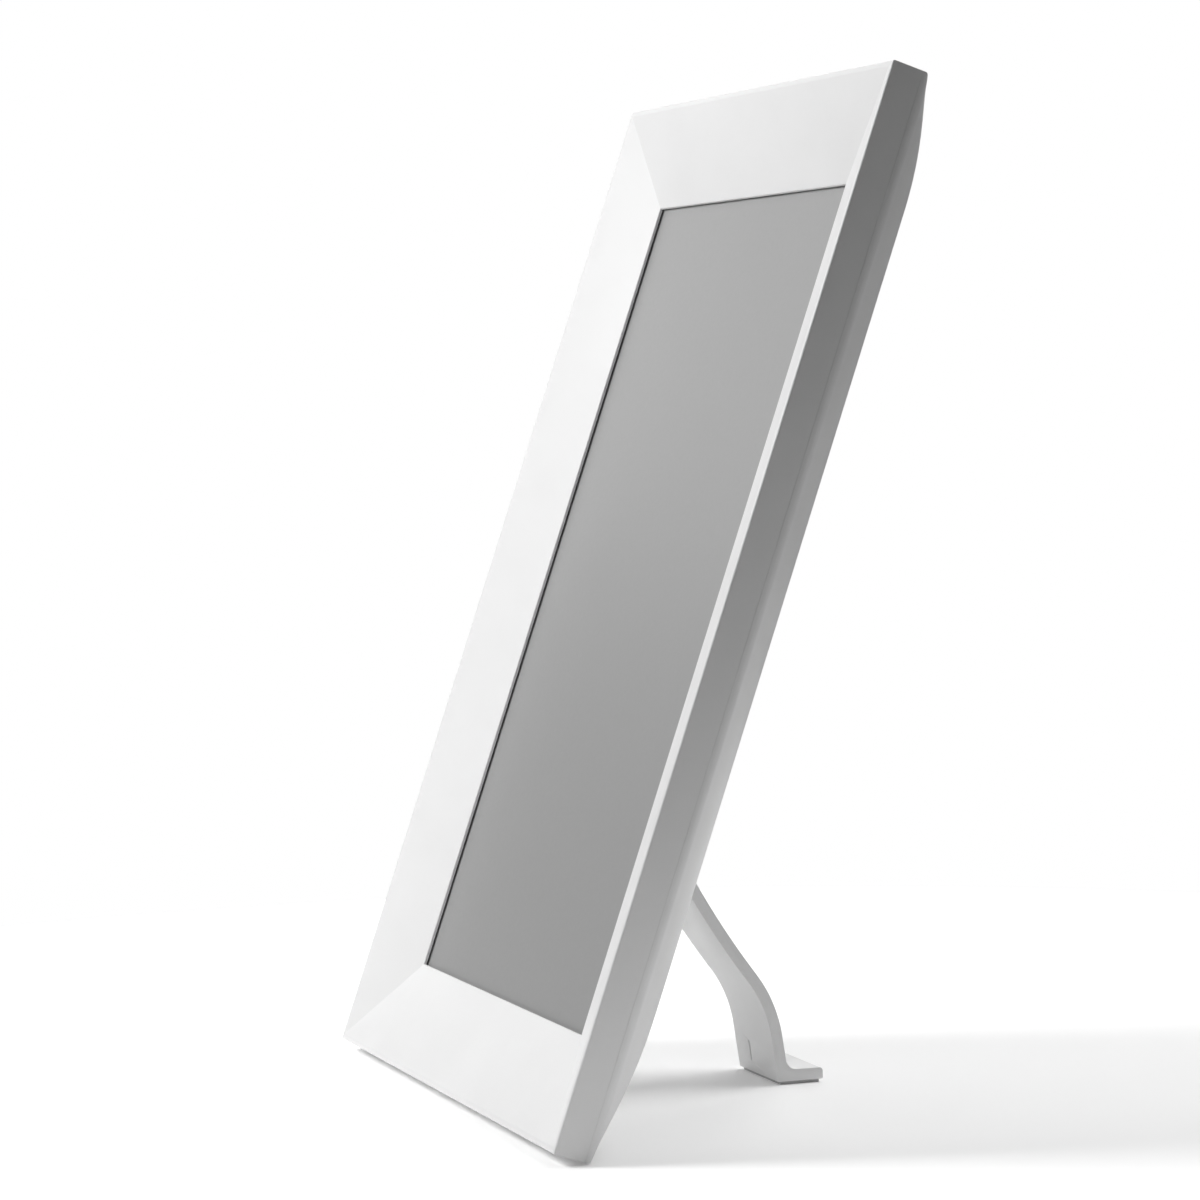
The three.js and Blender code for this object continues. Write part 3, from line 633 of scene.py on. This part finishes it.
def front_bezel():
    """The mitred border: flat rim, scoop down to the lip round the screen, and the side walls."""
    skirt_end = COVER_FRONT - PARTING
    slope = math.degrees(math.atan2(SCOOP_DEPTH, BORDER - RIM))
    profile = [(0, skirt_end)]
    profile += arc((RIM_ROUND, RIM_ROUND), RIM_ROUND, 180, 270, 6)
    profile += arc((RIM - 0.2, RIM_BEND), RIM_BEND, -90, -90 + slope, 4)
    profile += arc((BORDER - LIP_ROUND, SCOOP_DEPTH + LIP_ROUND), LIP_ROUND, -90 + slope, 0, 5)
    profile += [
        (BORDER, SCOOP_DEPTH + LIP),
        (BORDER - LIP_LEDGE, SCOOP_DEPTH + LIP),
        (WALL, LIP_LEDGE),
        (WALL, skirt_end),
    ]
    rings = mitred_rings(profile)
    piece = mesh_piece("bezel_moulding", *between_rings(rings + [rings[0]], closed_ends=False))
    for x, z in COVER_SCREWS:
        boss_top = POST_FRONT - 0.4
        boss = turned("boss", x, z, ((3.5, 5.3), (3.5, boss_top), (1.7, boss_top), (1.7, 6.0)))
        combine(piece, "UNION", boss)
    combine(piece, "DIFFERENCE", table_cutter())
    for side in ("left", "right"):
        pocket = strip_shape(side, 0.1)
        pocket.data.transform(HOUSING.inverted() @ STANDING)
        combine(piece, "DIFFERENCE", pocket)
    settle(piece, HOUSING, 12)
    return dress(piece, "housing", "housing_white", WHITE, "front_bezel")


def screen():
    """The matte film over the whole panel; the bezel's lip hides its edges."""
    outline = rounded_outline(0, HEIGHT / 2, *GLASS_HALF, 0.6, 3)
    piece = plate("screen_film", outline, (
        (GLASS_FRONT + 1.1, 0), (GLASS_FRONT + 0.15, 0), (GLASS_FRONT, -0.15),
    ))
    settle(piece, HOUSING)
    return dress(piece, "housing", "screen_grey", SCREEN, "screen_panel")


# ---------- the leg's line ----------

def leg_line():
    """Points along the middle of the leg, from the table up to the hinge: (y, z, slope)."""
    y, z = LEG_TOE + LEG_HALF / math.sin(SHIN_ANGLE), 0.0
    line = [(y, z, SHIN_ANGLE)]
    knee_length = KNEE_RADIUS * (SHIN_ANGLE - THIGH_ANGLE)
    stretches = (
        (SHIN_LENGTH, 3, lambda s: SHIN_ANGLE),
        (knee_length, 16, lambda s: SHIN_ANGLE - s / KNEE_RADIUS),
        (THIGH_LENGTH, 24, lambda s: THIGH_ANGLE + s / THIGH_RADIUS),
    )
    for length, steps, slope_at in stretches:
        for i in range(steps):
            middle = slope_at(length * (i + 0.5) / steps)
            y -= math.cos(middle) * length / steps
            z += math.sin(middle) * length / steps
            line.append((y, z, slope_at(length * (i + 1) / steps)))
    return line


LEG = leg_line()


def leg_side(offset):
    return [(y + math.sin(a) * offset, z + math.cos(a) * offset) for y, z, a in LEG]


def folded_in_housing(point):
    """A point of the standing frame after the leg has folded, in the housing's frame."""
    y, z = point[0] - HIP.y, point[1] - HIP.z
    turned_y = HIP.y + y * math.cos(FOLD) + z * math.sin(FOLD)
    turned_z = HIP.z - y * math.sin(FOLD) + z * math.cos(FOLD)
    moved = HOUSING.inverted() @ STANDING @ Vector((0, turned_y, turned_z))
    return moved.y, moved.z


# ---------- back cover ----------

def left_to_rise(distance, run):
    """1 at the edge, 0 on the flat."""
    return (1 - min(distance / run, 1)) ** 2


def rise(side, end):
    """How far the back has risen between a side and an end: about the lower of the two slopes."""
    power = HIP_SHARPNESS
    return 1 - (side ** power + end ** power - (side * end) ** power) ** (1 / power)


def grid_lines(half, low_run, high_run, run_steps, flat_steps):
    """Places from -half to half: a cell wider than the crease's rounding, the run at each end, the flat."""
    first = CREASE_ROUND + 0.15

    def along(run):
        return [0] + [first + (run - first) * i / run_steps for i in range(run_steps + 1)]

    lower = [-half + distance for distance in along(low_run)]
    upper = [half - distance for distance in reversed(along(high_run))]
    start, end = lower[-1], upper[0]
    return lower + [start + (end - start) * i / flat_steps for i in range(1, flat_steps)] + upper


def crown(name, inset, base, edge, top, side_steps, end_steps, flat_steps):
    """The crowned back as a closed solid: a flat front at base, straight sides to edge, then the crown."""
    half_x, half_z = WIDTH / 2 - inset, HEIGHT / 2 - inset
    side_run, top_run, bottom_run = SIDE_RUN - inset, TOP_RUN - inset, BOTTOM_RUN - inset
    columns = grid_lines(half_x, side_run, side_run, side_steps, flat_steps)
    rows = grid_lines(half_z, bottom_run, top_run, end_steps, flat_steps)
    points, faces = [], []
    for z in rows:
        for x in columns:
            side = left_to_rise(half_x - abs(x), side_run)
            end = max(left_to_rise(half_z + z, bottom_run), left_to_rise(half_z - z, top_run))
            points.append((x, edge + (top - edge) * rise(side, end), z + HEIGHT / 2))
    across_count, up_count = len(columns), len(rows)
    for r in range(up_count - 1):
        for c in range(across_count - 1):
            i = r * across_count + c
            faces.append((i, i + 1, i + across_count + 1, i + across_count))
    border = [c for c in range(across_count)]
    border += [r * across_count + across_count - 1 for r in range(1, up_count)]
    border += [(up_count - 1) * across_count + c for c in range(across_count - 2, -1, -1)]
    border += [r * across_count for r in range(up_count - 2, 0, -1)]
    first = len(points)
    points += [(points[i][0], base, points[i][2]) for i in border]
    for k, i in enumerate(border):
        following = (k + 1) % len(border)
        faces.append((i, border[following], first + following, first + k))
    faces.append(tuple(range(first, first + len(border))))
    return mesh_piece(name, points, faces)


def round_crease(piece, edge, width):
    """Rounds the crease where the straight side turns into the crown."""
    shape = bmesh.new()
    shape.from_mesh(piece.data)
    crease = [
        line for line in shape.edges
        if all(abs(end.co.y - edge) < 1e-4 for end in line.verts)
        and any(abs(face.normal.y) < 0.01 for face in line.link_faces)
    ]
    bmesh.ops.bevel(
        shape, geom=crease, offset=width, offset_type="OFFSET", segments=5, profile=0.5, affect="EDGES",
        clamp_overlap=False,
    )
    shape.to_mesh(piece.data)
    shape.free()


TROUGH_HALF = LEG_WIDTH / 2 + 0.75
TROUGH_CLEARANCE = 0.6
POCKET_HALF = EAR_OUTER + 0.6
POCKET_FLOOR = HIP_HOUSING.y - 4.2
POCKET_LOW = HIP_HOUSING.z - 6
POCKET_HIGH = HIP_HOUSING.z + 17


def leg_trough(name, clearance, half):
    """The space of the folded leg: its line in the housing, that far clear, open to the back."""
    floor_line = [folded_in_housing(point) for point in leg_side(-LEG_HALF - clearance)]
    outline = [(TOTAL_DEPTH + 20, floor_line[0][1]), *floor_line, (TOTAL_DEPTH + 20, floor_line[-1][1])]
    return across(name, outline, half)


def hinge_pocket(name, extra):
    """The space round the hinge, or its tray when grown by extra."""
    return block(
        name, -POCKET_HALF - extra, POCKET_HALF + extra,
        POCKET_FLOOR - extra, TOTAL_DEPTH + 20,
        POCKET_LOW - extra, POCKET_HIGH + extra,
    )


def flared_hole(name, outline, chamfer=0.3):
    """A cutter through the flat of the back, opening out a little at the surface."""
    return plate(name, outline, (
        (TOTAL_DEPTH - COVER_WALL - 2, 0),
        (TOTAL_DEPTH - chamfer, 0),
        (TOTAL_DEPTH + 0.01, chamfer),
        (TOTAL_DEPTH + 2, chamfer),
    ))


def slot_row(count, pitch, x, z, half_length, half_width=0.8):
    """Cutters for level slots with round ends, one above the other about (x, z)."""
    made = []
    for i in range(count):
        at = z + pitch * (i - (count - 1) / 2)
        outline = rounded_outline(x, at, half_length, half_width, half_width, 4)
        made.append(flared_hole("slot", outline, 0.2))
    return made


def keyhole_outline(x, z):
    """A round entry with a narrow slot above it, as one outline."""
    entry, neck, rise_by = 4.2, 2.1, 9.0
    start = math.asin(neck / entry)
    outline = []
    for i in range(33):
        turn = math.pi / 2 + start + (2 * math.pi - 2 * start) * i / 32
        outline.append((x + entry * math.cos(turn), z + entry * math.sin(turn)))
    for i in range(13):
        turn = math.pi * i / 12
        outline.append((x + neck * math.cos(turn), z + rise_by + neck * math.sin(turn)))
    return outline


def key_z(index):
    return 176 + BUTTON_PITCH * (2 - index)


SOCKET_FRONT = 15.8
CARD_Z, USB_Z, INLET_Z = 196.0, 168.0, 143.0
INLET_DEPTH = 16.35


def port_cutters():
    """The card slot and the two sockets' openings, all from the left side of the crown."""
    edge, inner = -WIDTH / 2 - 5, -69.0
    card = block("card_cut", edge, inner, SOCKET_FRONT + 0.3, SOCKET_FRONT + 3, CARD_Z - 13, CARD_Z + 13)
    usb = block("usb_cut", edge, inner, SOCKET_FRONT + 0.1, SOCKET_FRONT + 3.3, USB_Z - 4.2, USB_Z + 4.2)
    inlet = cross_rod("inlet_cut", INLET_DEPTH, INLET_Z, ((2.75, edge), (2.75, inner)))
    return [card, usb, inlet]


def back_cover():
    """The crowned back: a shell with trays for the leg and its hinge, screw posts and all the openings."""
    # Cells along a side's run, an end's run and the flat between.
    fine = (30, 40, 16)
    plain = (9, 11, 2)
    piece = crown("cover_moulding", 0, COVER_FRONT, CREASE, TOTAL_DEPTH, *fine)
    round_crease(piece, CREASE, CREASE_ROUND)
    inside = crown("inside", 3, COVER_FRONT - 1, COVER_FRONT, TOTAL_DEPTH - COVER_WALL, *plain)
    combine(piece, "DIFFERENCE", inside)
    floor_wall = 1.5
    for tray in (
        leg_trough("trough_tray", TROUGH_CLEARANCE + floor_wall, TROUGH_HALF + floor_wall),
        hinge_pocket("pocket_tray", floor_wall),
        *[turned("post", x, z, ((5, POST_FRONT), (5, TOTAL_DEPTH))) for x, z in COVER_SCREWS],
    ):
        outside = crown("outside", 0.02, COVER_FRONT, CREASE - 0.02, TOTAL_DEPTH - 0.02, *plain)
        combine(piece, "UNION", combine(tray, "INTERSECT", outside))
    cutters = [
        leg_trough("trough", TROUGH_CLEARANCE, TROUGH_HALF),
        hinge_pocket("pocket", 0),
        table_cutter(),
        *port_cutters(),
        *[turned("well", x, z, ((3.4, HEAD_SEAT), (3.4, TOTAL_DEPTH + 5))) for x, z in COVER_SCREWS],
        *[turned("screw_hole", x, z, ((1.8, 5), (1.8, TOTAL_DEPTH))) for x, z in COVER_SCREWS],
    ]
    for cutter in cutters:
        combine(piece, "DIFFERENCE", cutter)
    holes = [
        *[
            flared_hole("key_hole", rounded_outline(BUTTON_X, key_z(i), 6.6, 3.4, 3.39, 8))
            for i in range(len(BUTTONS))
        ],
        flared_hole(
            "slider_hole",
            rounded_outline(BUTTON_X, SLIDER_Z + SLIDER_TRAVEL / 2, 2.9, 4.3 + SLIDER_TRAVEL / 2, 0.6, 4),
        ),
        *[slot for x, z in SPEAKERS for slot in slot_row(5, 4.4, x, z, 9)],
        *slot_row(4, 4.4, 0, 232, 30),
        *[flared_hole("keyhole", keyhole_outline(x, z)) for x, z in KEYHOLES],
    ]
    combine(piece, "DIFFERENCE", joined("holes", holes))
    settle(piece, HOUSING, 24)
    return dress(piece, "housing", "housing_white", WHITE, "back_cover")


# ---------- leg ----------

def leg_outline():
    """Up the near side, down the far side, round the fillet, along the foot and round its tip."""
    heel_bottom = FOOT_TOP + FOOT_FILLET
    slope = math.cos(SHIN_ANGLE) / math.sin(SHIN_ANGLE)

    def front_at(z):
        return LEG_TOE - z * slope

    def back_at(z):
        return front_at(z) + 2 * LEG_HALF / math.sin(SHIN_ANGLE)

    base = SOLE_DEPTH + 0.02
    outline = [(front_at(base), base)]
    outline += [point for point in leg_side(-LEG_HALF) if point[1] > base + 1]
    outline += [point for point in reversed(leg_side(LEG_HALF)) if point[1] > heel_bottom + 0.5]
    for i in range(11):
        turn = math.pi / 2 * i / 10
        outline.append((
            back_at(heel_bottom) + FOOT_FILLET * (1 - math.cos(turn)),
            heel_bottom - FOOT_FILLET * math.sin(turn),
        ))
    foot_end = LEG_TOE + FOOT_LENGTH
    for i in range(9):
        turn = math.pi / 2 * (1 - i / 8)
        outline.append((
            foot_end - TIP_ROUND + TIP_ROUND * math.cos(turn),
            FOOT_TOP - TIP_ROUND + TIP_ROUND * math.sin(turn),
        ))
    outline += [(foot_end, base + 0.3), (foot_end - 0.3, base)]
    return outline


def stand_leg():
    """The curved strip with its foot, the hinge barrel, the stop at its heel and the slit in its shin."""
    half = LEG_WIDTH / 2
    piece = across("leg_moulding", leg_outline(), half)
    barrel = cross_rod("barrel", HIP.y, HIP.z, ((BARREL_RADIUS, -half), (BARREL_RADIUS, half)))
    combine(piece, "UNION", barrel)
    heel_half, heel_reach, heel_thickness = 10, 4.4, 2.6
    heel = block("heel", -heel_half, heel_half, -heel_reach, 0, -heel_thickness / 2, heel_thickness / 2)
    heel.data.transform(
        Matrix.Translation((0, HIP.y, HIP.z)) @ Matrix.Rotation(-LEG[-1][2], 4, "X")
    )
    combine(piece, "UNION", heel)
    bore = PIN_RADIUS + 0.3
    combine(piece, "DIFFERENCE", cross_rod("bore", HIP.y, HIP.z, ((bore, -half - 2), (bore, half + 2)), 32))
    middle = (SLIT_LOW + SLIT_HIGH) / 2
    slit = block(
        "slit", SLIT_X - SLIT_HALF_WIDTH, SLIT_X + SLIT_HALF_WIDTH,
        -SLIT_DEPTH, SLIT_DEPTH, SLIT_LOW - middle, SLIT_HIGH - middle,
    )
    slit.data.transform(
        Matrix.Translation((0, LEG_TOE - middle / math.tan(SHIN_ANGLE), middle))
        @ Matrix.Rotation(math.pi / 2 - SHIN_ANGLE, 4, "X")
    )
    combine(piece, "DIFFERENCE", slit)
    soften(piece, 0.35, 3, 40)
    settle(piece, STANDING, 30)
    return dress(piece, "leg", "housing_white", WHITE, "stand_leg")


def foot_sole():
    """The thin pad under the foot, a little smaller than the foot."""
    half = LEG_WIDTH / 2 - SOLE_INSET
    near, far = LEG_TOE + 0.6, LEG_TOE + FOOT_LENGTH - SOLE_INSET
    outline = [(near, 0), (near, SOLE_DEPTH), (far, SOLE_DEPTH), (far, 0)]
    piece = across("sole_pad", outline, half)
    soften(piece, 0.15, 2, 40)
    settle(piece, STANDING)
    return dress(piece, "leg", "rubber_grey", SOLE_RUBBER, "foot_sole")


# ---------- buttons, slider, screws ----------

def key_mark(index):
    """A small plain raised mark for each key: a square, two arrow heads, a dot and a bar."""
    z = key_z(index)
    marks = (
        rounded_outline(BUTTON_X, z, 1.0, 1.0, 0.2, 2),
        [(BUTTON_X - 1.3, z - 0.8), (BUTTON_X + 1.3, z - 0.8), (BUTTON_X, z + 1.1)],
        [(BUTTON_X + 1.3, z + 0.8), (BUTTON_X - 1.3, z + 0.8), (BUTTON_X, z - 1.1)],
        rounded_outline(BUTTON_X, z, 1.0, 1.0, 0.99, 8),
        rounded_outline(BUTTON_X, z, 1.8, 0.4, 0.39, 4),
    )
    layers = ((BUTTON_TOP - 0.5, 0), (BUTTON_TOP + 0.12, 0), (BUTTON_TOP + 0.2, -0.08))
    return plate("mark", marks[index], layers)


def key(index, name):
    """A stadium-shaped key with a domed edge, a flange that holds it in and a stem to its switch."""
    z = key_z(index)
    flange_front = FLANGE_BACK - 1
    piece = plate(f"{name}_key_cap", rounded_outline(BUTTON_X, z, 6.3, 3.1, 3.09, 10), (
        (flange_front, 0),
        (BUTTON_TOP - 0.5, 0),
        (BUTTON_TOP - 0.34, -0.04),
        (BUTTON_TOP - 0.15, -0.15),
        (BUTTON_TOP - 0.04, -0.34),
        (BUTTON_TOP, -0.6),
    ))
    flange_outline = rounded_outline(BUTTON_X, z, 7.6, 4.4, 4.39, 10)
    shoulder = plate("shoulder", flange_outline, ((flange_front, 0), (FLANGE_BACK, 0)))
    stem = turned("stem", BUTTON_X, z, ((1.5, FLANGE_BACK - 2.2), (1.5, FLANGE_BACK - 0.5)), 24)
    combine(piece, "UNION", shoulder)
    combine(piece, "UNION", stem)
    combine(piece, "UNION", key_mark(index))
    settle(piece, HOUSING, 24)
    return dress(piece, f"{name}_key", "button_white", KEY_WHITE, f"{name}_button")


def power_slider():
    """A square thumb piece with three grip grooves, on a slide behind the cover's wall."""
    piece = plate("slider_thumb", rounded_outline(BUTTON_X, SLIDER_Z, 2.6, 4.0, 0.5, 4), (
        (FLANGE_BACK - 1, 0), (SLIDER_TOP - 0.15, 0), (SLIDER_TOP, -0.15),
    ))
    slide = block(
        "slide", BUTTON_X - 5, BUTTON_X + 5, FLANGE_BACK - 1, FLANGE_BACK, SLIDER_Z - 8, SLIDER_Z + 8,
    )
    combine(piece, "UNION", slide)
    for step in (-2, 0, 2):
        at = SLIDER_Z + step
        groove = block(
            "groove", BUTTON_X - 4, BUTTON_X + 4, TOTAL_DEPTH + 0.15, SLIDER_TOP + 0.5, at - 0.3, at + 0.3,
        )
        combine(piece, "DIFFERENCE", groove)
    soften(piece, 0.08, 2, 40)
    settle(piece, HOUSING)
    return dress(piece, "slider", "button_white", KEY_WHITE, "power_slider")


def pan_screw(name, x, z, seat, tip, shank, head, head_depth, node):
    """A pan-head screw with a cross recess, entering from behind."""
    profile = [(0.05, tip), (shank * 0.5, tip), (shank, tip + shank), (shank, seat), (head, seat)]
    profile += [(head, seat + head_depth * 0.35)]
    for i in range(1, 9):
        turn = math.pi / 2 * i / 8
        profile.append((
            head * (0.62 + 0.38 * math.cos(turn)),
            seat + head_depth * (0.35 + 0.65 * math.sin(turn)),
        ))
    profile.append((0.05, seat + head_depth))
    piece = turned(name, x, z, profile)
    arm, blade = head * 0.55, head * 0.13
    bottom, above = seat + head_depth * 0.4, seat + head_depth + 2
    combine(piece, "DIFFERENCE", block("recess", x - arm, x + arm, bottom, above, z - blade, z + blade))
    combine(piece, "DIFFERENCE", block("recess", x - blade, x + blade, bottom, above, z - arm, z + arm))
    settle(piece, HOUSING)
    return dress(piece, "housing", "steel", STEEL, node)


def hinge_pin():
    """The rod through the barrel, its ends chamfered."""
    end, chamfer = EAR_OUTER - 0.2, 0.25
    piece = cross_rod("pin_rod", HIP_HOUSING.y, HIP_HOUSING.z, (
        (PIN_RADIUS - chamfer, -end),
        (PIN_RADIUS, -end + chamfer),
        (PIN_RADIUS, end - chamfer),
        (PIN_RADIUS - chamfer, end),
    ))
    settle(piece, HOUSING)
    return dress(piece, "housing", "steel", STEEL, "hinge_pin")


def hinge_bracket():
    """A folded steel bracket: a screwed plate with an ear at each end, round about the pin."""
    y, z = HIP_HOUSING.y, HIP_HOUSING.z
    low, high = POCKET_FLOOR + 0.3, POCKET_FLOOR + 1.5
    top, ear_radius = z + 16, 2.6
    piece = block("bracket_sheet", -EAR_OUTER, EAR_OUTER, low, high, z + 6.4, top)
    ear_outline = [
        (y + ear_radius, z), (y + ear_radius, z + 8), (high, top - 1), (high, top), (low, top), (low, z),
    ]
    for i in range(13):
        turn = math.pi * (1 + i / 24)
        ear_outline.append((y + ear_radius * math.cos(turn), z + ear_radius * math.sin(turn)))
    for side in (-1, 1):
        ear = across("ear", ear_outline, (EAR_OUTER - EAR_INNER) / 2)
        ear.data.transform(Matrix.Translation((side * (EAR_INNER + EAR_OUTER) / 2, 0, 0)))
        combine(piece, "UNION", ear)
    hole = PIN_RADIUS + 0.15
    combine(piece, "DIFFERENCE", cross_rod("hole", y, z, ((hole, -EAR_OUTER - 2), (hole, EAR_OUTER + 2))))
    for x in BRACKET_SCREW_X:
        screw_hole = turned("hole", x, z + BRACKET_SCREW_RISE, ((1.6, low - 1), (1.6, high + 1)))
        combine(piece, "DIFFERENCE", screw_hole)
    soften(piece, 0.2, 2, 40)
    settle(piece, HOUSING)
    return dress(piece, "housing", "steel", STEEL, "hinge_bracket")


def edge_strip(side):
    """A rubber strip under the bottom edge, flat on the table."""
    piece = strip_shape(side)
    soften(piece, 0.12, 2, 30)
    settle(piece, STANDING)
    return dress(piece, "housing", "rubber_grey", GREY_RUBBER, f"edge_strip_{side}")


# ---------- the CAD nodes that stay as they are ----------

def carried_over():
    """Gives the CAD nodes that no piece here replaces their own materials."""
    materials = {
        "screen_gasket": FOAM,
        "light_guide": ACRYLIC,
        "backlight_bar": LAMP_BOARD,
        "panel_back_tray": TIN,
        "panel_clamp_bottom": STEEL,
        "panel_clamp_top": STEEL,
        "main_board": BOARD,
        "button_board": BOARD,
        "card_socket": TIN,
        "usb_socket": TIN,
        "power_inlet": BLACK,
        "processor_shield": TIN,
        "clock_battery": STEEL,
        "panel_ribbon": COPPER_RIBBON,
        "button_ribbon": WHITE_RIBBON,
        "speaker_left": BLACK,
        "speaker_right": BLACK,
        "hinge_washer_left": STEEL,
        "hinge_washer_right": STEEL,
    }
    for number in range(1, 5):
        materials[f"board_screw_{number}"] = STEEL
    for name, material in materials.items():
        node = frame["nodes"][name]
        node.data.materials.clear()
        node.data.materials.append(material)


front_bezel()
screen()
back_cover()
stand_leg()
foot_sole()
for number, button_name in enumerate(BUTTONS):
    key(number, button_name)
power_slider()
for number, (screw_x, screw_z) in enumerate(COVER_SCREWS, start=1):
    pan_screw(
        f"cover_screw_head_{number}", screw_x, screw_z,
        HEAD_SEAT + 0.1, 6.3, 1.3, 2.9, 1.8, f"cover_screw_{number}",
    )
for number, screw_x in enumerate(BRACKET_SCREW_X, start=1):
    pan_screw(
        f"bracket_screw_head_{number}", screw_x, HIP_HOUSING.z + BRACKET_SCREW_RISE,
        POCKET_FLOOR + 1.55, POCKET_FLOOR - 1, 1.0, 2.4, 1.3, f"bracket_screw_{number}",
    )
hinge_pin()
hinge_bracket()
edge_strip("left")
edge_strip("right")
carried_over()
